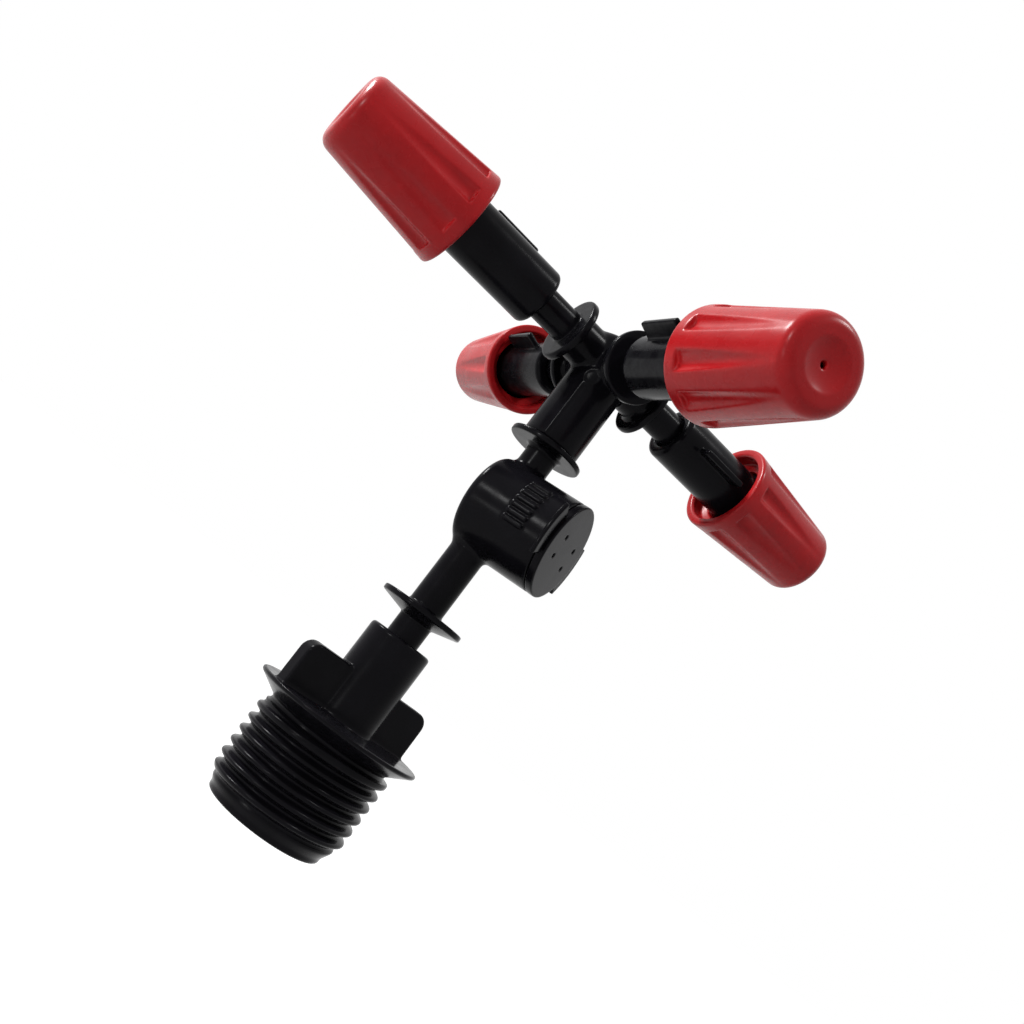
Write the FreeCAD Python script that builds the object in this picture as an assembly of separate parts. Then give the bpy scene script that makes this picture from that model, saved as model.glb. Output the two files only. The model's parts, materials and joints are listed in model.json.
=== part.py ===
import FreeCAD, Part
import math
import os

# Four-outlet misting sprinkler: a threaded inlet adapter, a spring check valve in a
# drum, a cross hub and four nozzles with screw-down caps.  Millimetres, +Z up the
# main axis, origin at the centre of the adapter's bottom rim.  The drum's axis is +X.
V = FreeCAD.Vector
UP = V(0, 0, 1)
ORIGIN = V(0, 0, 0)

# ---- snap-in swivel plugs and the sockets that take them ----
plug_r = 2.5                # round plug on the valve and on each hub arm
running_gap = 0.05          # radial clearance between a plug and its socket
bead_height = 0.3           # the plug's retaining bead, above the plug
bead_width = 1.0
bead_gap = 0.15             # the bead's clearance in its groove, each way along the axis
plug_end_gap = 0.4          # between the plug's end and the socket's floor
mouth_chamfer = 0.35

# ---- inlet adapter ----
thread_major_r = 10.3       # G 1/2 pipe thread, moulded a little under size
thread_depth = 1.05
thread_pitch = 1.814
thread_crest = 0.40         # width of the crest's flat
thread_root = 0.34
thread_top = 13.3           # where the groove runs out under the flange
pilot_r = 8.85              # plain ring below the thread
pilot_height = 0.8
lead_in_height = 2.5        # cone from the pilot ring to the full thread
flange_r = 12.6
flange_top = 16.4
flange_rim = 0.5
flange_cone = 1.9           # height of the cone under the flange
inlet_bore_r = 7.4
inlet_bore_depth = 14.2
inlet_passage_r = 1.9
wing_reach = 11.8           # the grip plate's half width
wing_thickness = 2.6
wing_top = 23.1
wing_corner_r = 1.8
wing_edge_r = 0.35
wing_angle = 60.0           # turn of the grip plate about +Z, from +X
boss_r = 4.78
boss_top = 29.75
boss_edge_r = 0.5
boss_foot = 0.6             # small cone at the foot of the boss
inlet_plug_end = 21.6       # bottom of the valve's inlet plug
inlet_bead_low = 24.0

# ---- valve body ----
collar_top = 34.7           # collar on the inlet stem
collar_r = 6.4
collar_rim = 0.8
collar_cone = 1.0
stem_r = 2.67
flare_height = 2.0          # flare where the stem and the neck meet the drum
flare_r = 3.0
flare_reach = 1.0           # how far the flares start outside the drum
drum_z = 51.94
drum_r = 7.15
drum_back = -3.1            # back face, from the main axis
drum_front = 10.0
drum_edge_r = 1.1
chamber_r = drum_r - 2.25    # water chamber behind the diaphragm
chamber_back = -1.5
ledge_x = 3.0               # the diaphragm's rim rests here
cover_bore_r = drum_r - 1.25
seat_r = 2.3                # post with the seat that the diaphragm closes
seat_bore_r = 1.0
seat_gap = 0.05
outlet_web = 4.2            # width of the web that carries the outlet passage
stem_passage_r = 1.5
neck_r = 2.42
neck_passage_r = 1.2
outlet_sump = 0.3           # how far the outlet passage runs below the seat's bore
outlet_collar_low = drum_z + drum_r + 3.36
outlet_collar_r = 5.78
outlet_collar_height = 0.85
outlet_plug_end = outlet_collar_low + 7.85
outlet_bead_low = outlet_collar_low + 5.05
grip_ribs = 7
grip_rib_pitch = 8.8        # degrees
grip_rib_mid = 15.0         # degrees up from the -Y side
grip_rib_width = 0.7
grip_rib_height = 0.42
grip_rib_root = 0.5         # how deep the ribs sink into the drum's wall
grip_rib_edge_r = 0.15
grip_rib_back = 3.5
grip_rib_length = 3.3

# ---- valve cover, held by a bayonet ----
cover_face_r = drum_r       # the round face, flush with the drum
cover_face_height = 1.15    # from the seam to the face
cover_seam = 0.1            # between the drum's front and the cover
cover_bore_gap = 0.05
cover_inner_r = cover_bore_r - 1.15
cover_wall = 1.15           # thickness of the end wall
ear_r = drum_r + 2.55       # two ears beside the face, for finger and thumb
ear_thickness = 0.65
ear_half_angle = 25.0
ear_mid_angle = 2.0         # degrees from the -Y side towards +Z
vent_r = 0.35
vent_y = 3.05
vent_z = 1.5
ear_slot_width = 0.5        # groove between the -Y ear and the face
ear_slot_depth = 0.4
ear_slot_low = -20.0
ear_slot_high = 24.0
lug_x = 7.0                 # bayonet lugs inside the drum
lug_length = 1.2
lug_r = cover_bore_r + 0.6
lug_half_angle = 18.0
lug_gap = 0.12
lug_entry_margin = 2.0      # degrees, each way
lug_root = 0.2              # how deep the lugs sink into the cover's plug
release_turn = 60.0         # turn from locked to free

# ---- diaphragm, plunger and spring ----
diaphragm_thickness = 0.75
diaphragm_rim_gap = 0.1     # radial, in the cover bore
clamp_gap = 0.05            # between the diaphragm and what is over it
plunger_r = cover_inner_r - 0.35
plunger_disc = 1.2
plunger_stem_r = 1.5
plunger_travel = 1.2
plunger_stop_gap = 0.2
spring_wire_r = 0.24
spring_coil_r = 2.6
spring_turns = 5
spring_wire_arcs = 9  # the wire's circle is drawn in this many arcs, so that a mesh of it stays round
spring_end_gap = 0.05

# ---- cross hub ----
hub_z = outlet_collar_low + 15.65   # height of the four arms' axes
hub_tube_r = 4.38
hub_mouth_gap = 0.15        # between the outlet collar and the hub's mouth
hub_mouth_edge = 0.5
hub_dome_top = hub_z + 3.9
hub_dome_edge = 1.6
hub_passage_r = 1.6
arm_angles = {"right_front": -45.0, "right_back": 45.0, "left_back": 135.0, "left_front": 225.0}
arm_r = 3.3
arm_collar_r = 5.1
arm_collar = 1.15
arm_collar_mid = 8.08       # from the main axis
arm_passage_r = 1.3
arm_plug_end = 19.4
arm_bead_low = 16.9

# ---- nozzle body, measured along its arm from the main axis ----
nozzle_mouth = 14.39
nozzle_tube_r = 4.32
nozzle_edge = 0.8
nozzle_thread_start = 30.8
nozzle_thread_end = 35.8
nozzle_passage_r = 1.2
cap_lead = 3.0              # the cap's travel in one turn
cap_thread_core_r = nozzle_tube_r + 0.38
cap_thread_height = 0.5
cap_thread_base = 1.3       # axial width of the ridge at its root
cap_thread_crest = 0.7
cap_thread_gap = 0.1
cap_thread_side_gap = 0.15
ridge_end_margin = 0.3
shank_r = cap_thread_core_r - 0.75    # smooth shank that the seal ring slides on
nose_start = 43.75
nose_r = 2.0
nose_length = 0.6
core_bore_r = 2.0
core_bore_start = 37.8
fin_start = 18.1
fin_end = 26.1
fin_r = nozzle_tube_r + 2.48          # reach of the fin from the nozzle's axis
fin_thickness = 0.9
fin_edge_r = 0.3
fin_angles = {"right_front": 71.0, "right_back": 94.0, "left_back": 285.0, "left_front": 27.0}
nozzle_slide = 3.4          # how much deeper than its outermost place a nozzle can be pushed on
nozzle_pushed_in = {"right_front": 3.25, "right_back": 0.3, "left_back": 0.0, "left_front": 0.0}

# ---- nozzle cap, measured from its base ----
cap_base_r = cap_thread_core_r + 2.8
cap_tip_r = cap_base_r - 1.83
cap_length = 20.06
cap_tip_edge = 1.7
cap_base_edge = 0.35
cap_mouth_r = cap_base_r - 1.45
cap_mouth_depth = 2.0
cap_thread_zone_end = 10.0
cap_bore_gap = 0.25         # round the shank
ring_middle = 11.05
ring_wire_r = 0.62
ring_gap = 0.05             # round the shank
ring_side_gap = 0.08
ring_back_gap = 0.06
seat_cone_start = 17.4
seat_cone_end = 18.6
orifice_r = 0.45
dish_r = 3.1
dish_depth = 0.6
cap_flutes = 9
flute_tool_r = 1.7
flute_start = 2.1           # the flute's square end, from the base
flute_depth = 0.72          # at the square end
flute_fade = 17.5           # where the flute runs out
cap_closed = 26.4           # the base's place when screwed down
cap_travel = 4.4            # from closed to fully open
cap_unscrewed = {"right_front": 2.95, "right_back": 1.4, "left_back": 0.1, "left_front": 3.25}

# ---- swirl core ----
core_slots = 3
core_slot_width = 0.8
core_slot_depth = 0.7
core_tip_r = 0.5
core_tip_length = 0.45


# ==== helpers ====
def corner(before, here, after, radius):
    """Tangent points and middle of an arc that rounds one corner of an outline."""
    a = (before - here).normalize()
    b = (after - here).normalize()
    half = math.acos(max(-1.0, min(1.0, a.dot(b)))) / 2
    reach = radius / math.tan(half)
    bisector = (a + b).normalize()
    middle = here + bisector * (radius / math.sin(half) - radius)
    return here + a * reach, middle, here + b * reach


def outline(points):
    """Closed wire in the XZ plane from (x, z) or (x, z, corner radius) points."""
    places = [V(p[0], 0, p[1]) for p in points]
    radii = [p[2] if len(p) > 2 else 0.0 for p in points]
    count = len(points)
    runs = []
    for i in range(count):
        if radii[i] > 0:
            runs.append(corner(places[i - 1], places[i], places[(i + 1) % count], radii[i]))
        else:
            runs.append((places[i],))
    edges = []
    for i in range(count):
        if len(runs[i]) == 3:
            edges.append(Part.Arc(*runs[i]).toShape())
        start = runs[i][-1]
        end = runs[(i + 1) % count][0]
        if start.distanceToPoint(end) > 1e-6:
            edges.append(Part.LineSegment(start, end).toShape())
    return Part.Wire(edges)


def lathe(points):
    """Solid of revolution about +Z from a closed (r, z) outline."""
    return Part.Face(outline(points)).revolve(ORIGIN, UP, 360)


def rod(radius, low, high):
    return Part.makeCylinder(radius, high - low, V(0, 0, low), UP)


def turned(shape, angle, axis=UP, centre=ORIGIN):
    copy = shape.copy()
    copy.rotate(centre, axis, angle)
    return copy


def moved(shape, offset):
    copy = shape.copy()
    copy.translate(offset)
    return copy


def along(shape, z_to, x_to, base=ORIGIN):
    """Place a shape made about +Z so that its +Z runs along z_to and its +X along x_to."""
    y_to = z_to.cross(x_to)
    matrix = FreeCAD.Matrix(x_to.x, y_to.x, z_to.x, base.x,
                            x_to.y, y_to.y, z_to.y, base.y,
                            x_to.z, y_to.z, z_to.z, base.z,
                            0, 0, 0, 1)
    copy = shape.copy()
    copy.Placement = FreeCAD.Placement(matrix).multiply(copy.Placement)
    return copy


def plug(low, high, bead_low, passage_r):
    """Round swivel plug from low to its end at high, with its retaining bead."""
    bead_r = plug_r + bead_height
    return lathe([(passage_r, low), (plug_r, low), (plug_r, bead_low),
                  (bead_r, bead_low + bead_height), (bead_r, bead_low + bead_width - bead_height),
                  (plug_r, bead_low + bead_width), (plug_r, high - mouth_chamfer),
                  (plug_r - mouth_chamfer, high), (passage_r, high)])


def socket(mouth, end, bead_low, slide=0.0):
    """Hole for a plug: mouth is its open end, end the plug's end, bead_low the bead.

    slide is how much deeper the plug can be pushed in."""
    r = plug_r + running_gap
    groove_r = r + bead_height
    low = bead_low - bead_gap
    high = bead_low + bead_width + bead_gap + slide
    floor = end + plug_end_gap + slide
    return lathe([(0, mouth - 1), (r + mouth_chamfer + 1, mouth - 1), (r + mouth_chamfer, mouth),
                  (r, mouth + mouth_chamfer), (r, low), (groove_r, low + bead_height),
                  (groove_r, high - bead_height), (r, high), (r, floor), (0, floor)])


def mirrored_z(shape, height):
    """The same shape upside down about the level height."""
    return turned(shape, 180, V(1, 0, 0), V(0, 0, height))


def helix_band(radius, low, turns, lead, section):
    """Solid swept along a right-hand helix; section is a closed (r, z) outline."""
    path = Part.makeHelix(lead, lead * turns, radius)
    band = Part.Wire(path.Edges).makePipeShell([outline(section)], True, True)
    return moved(band, V(0, 0, low))


# ==== inlet adapter ====
def thread_groove():
    root_r = thread_major_r - thread_depth
    out_r = thread_major_r + thread_depth * 0.15
    open_half = (thread_pitch - thread_crest) / 2
    root_half = thread_root / 2
    out_half = root_half + (open_half - root_half) * (out_r - root_r) / thread_depth
    low = -thread_pitch / 2
    turns = (thread_top - low) / thread_pitch
    section = [(root_r, -root_half), (out_r, -out_half), (out_r, out_half), (root_r, root_half)]
    return helix_band(root_r, low, turns, thread_pitch, section)


def wing_plate():
    low = flange_top - flange_rim
    wire = outline([(-wing_reach, low), (-wing_reach, wing_top, wing_corner_r),
                    (wing_reach, wing_top, wing_corner_r), (wing_reach, low)])
    plate = Part.Face(wire).extrude(V(0, wing_thickness, 0))
    plate.translate(V(0, -wing_thickness / 2, 0))
    sides = [e for e in plate.Edges if e.BoundBox.YLength < 1e-6 and e.BoundBox.ZMax > low + 0.01]
    plate = plate.makeFillet(wing_edge_r, sides)
    return turned(plate, wing_angle)


def threaded_barrel():
    """The thread on its barrel, with the plain pilot ring and the lead-in cone."""
    barrel = rod(thread_major_r, -thread_pitch, thread_top).cut(thread_groove())
    over = thread_major_r + 0.01
    envelope = lathe([(0, 0), (pilot_r, 0, 0.3), (pilot_r, pilot_height),
                      (over, pilot_height + lead_in_height), (over, thread_top + 1),
                      (0, thread_top + 1)])
    return barrel.common(envelope)


def inlet_adapter():
    neck_r = thread_major_r - thread_depth
    upper = lathe([(0, thread_top), (thread_major_r - 0.4, thread_top), (neck_r, thread_top + 0.3),
                   (neck_r, flange_top - flange_rim - flange_cone),
                   (flange_r, flange_top - flange_rim), (flange_r, flange_top, 0.15),
                   (boss_r + boss_foot, flange_top), (boss_r, flange_top + boss_foot),
                   (boss_r, boss_top, boss_edge_r), (0, boss_top)])
    body = threaded_barrel().fuse(upper.fuse(wing_plate()))
    bore = lathe([(0, -1), (inlet_bore_r + 0.4, -1), (inlet_bore_r + 0.4, 0), (inlet_bore_r, 0.4),
                  (inlet_bore_r, inlet_bore_depth, 0.6), (0, inlet_bore_depth)])
    passage = rod(inlet_passage_r, inlet_bore_depth - 1, inlet_plug_end)
    bead_from_mouth = boss_top - (inlet_bead_low + bead_width)
    hole = mirrored_z(socket(0, boss_top - inlet_plug_end, bead_from_mouth), 0)
    hole.translate(V(0, 0, boss_top))
    return body.cut(bore).cut(passage).cut(hole)


# ==== valve body ====
def drum(points):
    """Lathe about the drum's axis from (r, x) points."""
    return along(lathe(points), V(1, 0, 0), UP, V(0, 0, drum_z))


def drum_part(shape, angle):
    """Turn a shape made about +Z, its +X at angle degrees up from -Y, onto the drum's axis."""
    side = V(0, -math.cos(math.radians(angle)), math.sin(math.radians(angle)))
    return along(shape, V(1, 0, 0), side, V(0, 0, drum_z))


def sector(radius, half_angle, low, high, inner=0.0):
    """Wedge of a disc about +Z, centred on +X."""
    whole = Part.makeCylinder(radius, high - low, V(0, 0, low), UP, 2 * half_angle)
    whole = turned(whole, -half_angle)
    return whole.cut(rod(inner, low - 1, high + 1)) if inner > 0 else whole


def grip_patch():
    ribs = []
    for i in range(grip_ribs):
        angle = grip_rib_mid + (i - (grip_ribs - 1) / 2) * grip_rib_pitch
        bar = Part.makeBox(grip_rib_height + grip_rib_root, grip_rib_width, grip_rib_length,
                           V(drum_r - grip_rib_root, -grip_rib_width / 2, grip_rib_back))
        tops = [e for e in bar.Edges if e.BoundBox.XMin > drum_r]
        ribs.append(drum_part(bar.makeFillet(grip_rib_edge_r, tops), angle))
    return ribs


def valve_outside():
    collar_low = collar_top - collar_rim
    stem = lathe([(0, collar_low - collar_cone), (plug_r, collar_low - collar_cone),
                  (collar_r, collar_low), (collar_r, collar_top, 0.2), (stem_r + 0.4, collar_top),
                  (stem_r, collar_top + 0.4), (stem_r, drum_z - drum_r - flare_reach),
                  (flare_r, drum_z - drum_r - flare_reach + flare_height), (0, drum_z)])
    neck = lathe([(0, drum_z), (flare_r, drum_z + drum_r + flare_reach - flare_height),
                  (neck_r, drum_z + drum_r + flare_reach), (neck_r, outlet_collar_low - 0.4),
                  (neck_r + 0.4, outlet_collar_low), (outlet_collar_r, outlet_collar_low, 0.15),
                  (outlet_collar_r, outlet_collar_low + outlet_collar_height, 0.15),
                  (0, outlet_collar_low + outlet_collar_height)])
    shell = drum([(0, drum_back), (drum_r, drum_back, drum_edge_r), (drum_r, drum_front, 0.2),
                  (0, drum_front)])
    return shell.multiFuse([stem, neck] + grip_patch())


def valve_body():
    inlet = mirrored_z(plug(0, collar_top - collar_rim - collar_cone - inlet_plug_end,
                            collar_top - collar_rim - collar_cone - inlet_bead_low - bead_width,
                            stem_passage_r), 0)
    inlet.translate(V(0, 0, collar_top - collar_rim - collar_cone))
    outlet = plug(outlet_collar_low + outlet_collar_height, outlet_plug_end, outlet_bead_low,
                  neck_passage_r)
    chamber = drum([(0, chamber_back), (chamber_r, chamber_back, 0.5), (chamber_r, ledge_x),
                    (cover_bore_r, ledge_x), (cover_bore_r, drum_front + 1), (0, drum_front + 1)])
    post = drum([(0, chamber_back - 0.5), (seat_r, chamber_back - 0.5),
                 (seat_r, ledge_x - seat_gap, 0.3), (0, ledge_x - seat_gap)])
    web_depth = 2 * neck_passage_r + 0.7
    web = Part.makeBox(web_depth, outlet_web, chamber_r + 0.3,
                       V(chamber_back - 0.3, -outlet_web / 2, drum_z))
    body = valve_outside().cut(chamber).multiFuse([inlet, outlet, post, web])
    lug_ring_r = lug_r + cover_bore_gap
    lug_ring = along(lathe([(0, lug_x - lug_gap), (lug_ring_r, lug_x - lug_gap),
                            (lug_ring_r, lug_x + lug_length + lug_gap),
                            (0, lug_x + lug_length + lug_gap)]), V(1, 0, 0), UP, V(0, 0, drum_z))
    entries = [drum_part(sector(lug_ring_r, lug_half_angle + lug_entry_margin, lug_x,
                                  drum_front + 1),
                         ear_mid_angle + release_turn + turn) for turn in (0, 180)]
    inlet_hole = rod(stem_passage_r, inlet_plug_end - 1, drum_z - chamber_r + 0.6)
    outlet_hole = rod(neck_passage_r, drum_z - seat_bore_r - outlet_sump, outlet_plug_end + 1)
    seat_hole = drum([(0, 0), (seat_bore_r, 0), (seat_bore_r, ledge_x), (0, ledge_x)])
    for tool in [lug_ring] + entries + [inlet_hole, outlet_hole, seat_hole]:
        body = body.cut(tool)
    return body.removeSplitter()


# ==== valve cover, diaphragm, plunger and spring ====
def cover_face():
    """Where the cover's outer face lies on the drum's axis."""
    return drum_front + cover_seam + cover_face_height


def valve_cover():
    low = drum_front + cover_seam
    face = cover_face()
    plug_low = ledge_x + diaphragm_thickness + clamp_gap
    plug_out = cover_bore_r - cover_bore_gap
    cover = drum([(cover_inner_r, plug_low), (plug_out, plug_low, 0.2), (plug_out, low),
                  (cover_face_r, low), (cover_face_r, face, 0.25), (0, face),
                  (0, face - cover_wall), (cover_inner_r, face - cover_wall)])
    ear_top = low + ear_thickness
    extras = []
    for turn in (0, 180):
        ear = sector(ear_r, ear_half_angle, low, ear_top, cover_face_r - 1)
        lug = sector(lug_r, lug_half_angle, lug_x, lug_x + lug_length, plug_out - lug_root)
        extras.append(drum_part(ear, ear_mid_angle + turn))
        extras.append(drum_part(lug, ear_mid_angle + turn))
    cover = cover.multiFuse(extras)
    slot = sector(cover_face_r + ear_slot_width, (ear_slot_high - ear_slot_low) / 2,
                  ear_top - ear_slot_depth, ear_top + 1, cover_face_r)
    cover = cover.cut(drum_part(slot, (ear_slot_high + ear_slot_low) / 2))
    for y in (-vent_y, vent_y):
        for z in (-vent_z, vent_z):
            vent = Part.makeCylinder(vent_r, cover_wall + 2, V(face - cover_wall - 1, y, drum_z + z),
                                     V(1, 0, 0))
            cover = cover.cut(vent)
    return cover.removeSplitter()


def valve_diaphragm():
    outer = cover_bore_r - diaphragm_rim_gap
    top = ledge_x + diaphragm_thickness
    return drum([(0, ledge_x), (outer, ledge_x), (outer, top, 0.15), (0, top)])


def valve_plunger():
    low = ledge_x + diaphragm_thickness + clamp_gap
    end = cover_face() - cover_wall - plunger_travel - plunger_stop_gap
    return drum([(0, low), (plunger_r, low, 0.3), (plunger_r, low + plunger_disc, 0.3),
                 (plunger_stem_r, low + plunger_disc), (plunger_stem_r, end, 0.3), (0, end)])


def valve_spring():
    low = ledge_x + diaphragm_thickness + clamp_gap + plunger_disc + spring_end_gap + spring_wire_r
    high = cover_face() - cover_wall - spring_end_gap - spring_wire_r
    path = Part.makeHelix((high - low) / spring_turns, high - low, spring_coil_r)
    turn = 2 * math.pi / spring_wire_arcs
    arcs = [Part.Arc(*[V(spring_coil_r + spring_wire_r * math.cos(a), 0, spring_wire_r * math.sin(a))
                       for a in (i * turn, (i + 0.5) * turn, (i + 1) * turn)]).toShape()
            for i in range(spring_wire_arcs)]
    coil = Part.Wire(path.Edges).makePipeShell([Part.Wire(arcs)], True, True)
    return along(moved(coil, V(0, 0, low)), V(1, 0, 0), UP, V(0, 0, drum_z))


# ==== cross hub ====
def arm_direction(angle):
    return V(math.cos(math.radians(angle)), math.sin(math.radians(angle)), 0)


def on_arm(shape, angle):
    """Place a shape made along +Z on an arm, its +X upwards."""
    return along(shape, arm_direction(angle), UP, V(0, 0, hub_z))


def cross_hub():
    mouth = outlet_collar_low + outlet_collar_height + hub_mouth_gap
    body = lathe([(0, mouth), (hub_tube_r, mouth, hub_mouth_edge),
                  (hub_tube_r, hub_dome_top, hub_dome_edge), (0, hub_dome_top)])
    collar_low = arm_collar_mid - arm_collar / 2
    collar_high = arm_collar_mid + arm_collar / 2
    arm = lathe([(0, 0), (arm_r, 0), (arm_r, collar_low - 0.5), (arm_r + 0.5, collar_low),
                 (arm_collar_r, collar_low, 0.3), (arm_collar_r, collar_high, 0.3),
                 (0, collar_high)])
    arm = arm.fuse(plug(collar_high, arm_plug_end, arm_bead_low, arm_passage_r))
    body = body.multiFuse([on_arm(arm, a) for a in arm_angles.values()])
    for angle in arm_angles.values():
        body = body.cut(on_arm(rod(arm_passage_r, 0, arm_plug_end + 1), angle))
    body = body.cut(socket(mouth, outlet_plug_end, outlet_bead_low))
    body = body.cut(rod(hub_passage_r, outlet_plug_end, hub_z))
    return body.removeSplitter()


# ==== nozzles ====
def nozzle_body():
    nose_end = nose_start + nose_length
    body = lathe([(0, nozzle_mouth), (nozzle_tube_r, nozzle_mouth, nozzle_edge),
                  (nozzle_tube_r, nozzle_thread_start - 0.4),
                  (cap_thread_core_r, nozzle_thread_start), (cap_thread_core_r, nozzle_thread_end),
                  (shank_r, nozzle_thread_end + 0.5), (shank_r, nose_start, 0.2),
                  (nose_r, nose_end), (0, nose_end)])
    fin = Part.makeBox(fin_r, fin_thickness, fin_end - fin_start, V(0, -fin_thickness / 2, fin_start))
    ends = [e for e in fin.Edges if e.BoundBox.XMin > fin_r - 0.01]
    body = body.fuse(fin.makeFillet(fin_edge_r, ends))
    ridge_root = cap_thread_core_r - 0.15
    widen = (cap_thread_base - cap_thread_crest) / 2 * 0.15 / cap_thread_height
    section = [(ridge_root, -cap_thread_base / 2 - widen),
               (cap_thread_core_r + cap_thread_height, -cap_thread_crest / 2),
               (cap_thread_core_r + cap_thread_height, cap_thread_crest / 2),
               (ridge_root, cap_thread_base / 2 + widen)]
    low = nozzle_thread_start + cap_thread_base / 2 + ridge_end_margin
    ridge_length = nozzle_thread_end - nozzle_thread_start - cap_thread_base
    turns = (ridge_length - 2 * ridge_end_margin) / cap_lead
    ridge = helix_band(cap_thread_core_r, low, turns, cap_lead, section)
    body = body.fuse(ridge)
    body = body.cut(socket(nozzle_mouth, arm_plug_end, arm_bead_low, nozzle_slide))
    body = body.cut(rod(nozzle_passage_r, arm_plug_end, core_bore_start + 1))
    body = body.cut(rod(core_bore_r, core_bore_start, nose_end + 1))
    return body.removeSplitter()


def swirl_core():
    nose_end = nose_start + nose_length
    core = lathe([(0, core_bore_start), (core_bore_r, core_bore_start), (core_bore_r, nose_end),
                  (core_tip_r, nose_end + core_tip_length), (0, nose_end + core_tip_length)])
    for i in range(core_slots):
        slot = Part.makeBox(core_slot_depth + 0.5, core_slot_width, nose_end + 2 - core_bore_start,
                            V(core_bore_r - core_slot_depth, -core_slot_width / 2,
                              core_bore_start - 1))
        core = core.cut(turned(slot, i * 360.0 / core_slots))
    return core.cut(rod(core_bore_r - core_slot_depth - 0.2, core_bore_start - 1,
                        core_bore_start + 2.0))


def seal_ring():
    ring = Part.makeTorus(shank_r + ring_gap + ring_wire_r, ring_wire_r)
    return moved(ring, V(0, 0, cap_closed + ring_middle))


def cap_hollow():
    """The cap's inside without its thread, from the cap's base."""
    bore_r = shank_r + cap_bore_gap
    minor_r = cap_thread_core_r + cap_thread_gap
    groove_r = shank_r + ring_gap + 2 * ring_wire_r + ring_back_gap
    groove_low = ring_middle - ring_wire_r - ring_side_gap
    groove_high = ring_middle + ring_wire_r + ring_side_gap
    return lathe([(0, -1), (cap_mouth_r + 0.3, -1), (cap_mouth_r + 0.3, 0), (cap_mouth_r, 0.3),
                  (cap_mouth_r, cap_mouth_depth), (minor_r, cap_mouth_depth + 0.4),
                  (minor_r, cap_thread_zone_end), (bore_r, cap_thread_zone_end),
                  (bore_r, groove_low), (groove_r, groove_low), (groove_r, groove_high),
                  (bore_r, groove_high), (bore_r, seat_cone_start), (orifice_r, seat_cone_end),
                  (orifice_r, cap_length + 1), (0, cap_length + 1)])


def cap_channel():
    """Helical channel for the body's ridge, in step with it when the cap is screwed down."""
    minor_r = cap_thread_core_r + cap_thread_gap
    top_r = cap_thread_core_r + cap_thread_height + cap_thread_gap
    inset = 0.3
    crest_half = cap_thread_crest / 2 + cap_thread_side_gap
    base_half = cap_thread_base / 2 + cap_thread_side_gap
    widen = (base_half - crest_half) * inset / cap_thread_height
    section = [(minor_r - inset, -base_half - widen), (top_r, -crest_half),
               (top_r, crest_half), (minor_r - inset, base_half + widen)]
    ridge_low = nozzle_thread_start + cap_thread_base / 2 + ridge_end_margin - cap_closed
    low = ridge_low - math.ceil((ridge_low - cap_mouth_depth) / cap_lead) * cap_lead
    turns = (cap_thread_zone_end - base_half - low) / cap_lead
    return helix_band(minor_r, low, turns, cap_lead, section)


def flute():
    """Tapering flute cutter, deep at its square end near the base, for the cap's +X side."""
    slope = (cap_base_r - cap_tip_r) / cap_length
    start_r = cap_base_r - slope * flute_start - flute_depth
    fade_r = cap_base_r - slope * flute_fade
    tilt = math.degrees(math.atan2(start_r - fade_r, flute_fade - flute_start))
    cutter = Part.makeCylinder(flute_tool_r, flute_fade - flute_start + 3)
    return moved(turned(cutter, -tilt, V(0, 1, 0)), V(start_r + flute_tool_r, 0, flute_start))


def cap_outside():
    """The cap's outer shape, as one sector for each flute."""
    step = 360.0 / cap_flutes
    profile = Part.Face(outline([(0, 0), (cap_base_r, 0, cap_base_edge),
                                 (cap_tip_r, cap_length, cap_tip_edge), (0, cap_length)]))
    segment = profile.revolve(ORIGIN, UP, step).cut(turned(flute(), step / 2))
    return segment.multiFuse([turned(segment, i * step) for i in range(1, cap_flutes)])


def nozzle_cap():
    dish_ball_r = (dish_r ** 2 + dish_depth ** 2) / (2 * dish_depth)
    dish = Part.makeSphere(dish_ball_r, V(0, 0, cap_length - dish_depth + dish_ball_r))
    body = cap_outside().cut(cap_hollow()).cut(cap_channel()).cut(dish)
    return moved(body, V(0, 0, cap_closed))


def unscrewed(shape, distance):
    """A cap part moved out along the thread, which turns it too."""
    return moved(turned(shape, 360.0 * distance / cap_lead), V(0, 0, distance))


def save(name, shape):
    shape.exportStep("parts/" + name + ".step")
    print(name, "solids", len(shape.Solids), "valid", shape.isValid(), "volume", round(shape.Volume, 1))


def main():
    os.makedirs("parts", exist_ok=True)
    save("inlet_adapter", inlet_adapter())
    save("valve_body", valve_body())
    save("valve_cover", valve_cover())
    save("valve_diaphragm", valve_diaphragm())
    save("valve_plunger", valve_plunger())
    save("valve_spring", valve_spring())
    save("cross_hub", cross_hub())
    body, core, ring, cap = nozzle_body(), swirl_core(), seal_ring(), nozzle_cap()
    for place, angle in arm_angles.items():
        out = cap_unscrewed[place]
        pieces = {"nozzle_body_": body, "swirl_core_": core, "seal_ring_": moved(ring, V(0, 0, out)),
                  "nozzle_cap_": unscrewed(cap, out)}
        for name, piece in pieces.items():
            seated = moved(turned(piece, fin_angles[place]), V(0, 0, -nozzle_pushed_in[place]))
            save(name + place, on_arm(seated, angle))


main()
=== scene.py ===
import itertools
import json
import math

import bpy
import numpy as np
from mathutils import Matrix, Vector


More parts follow.
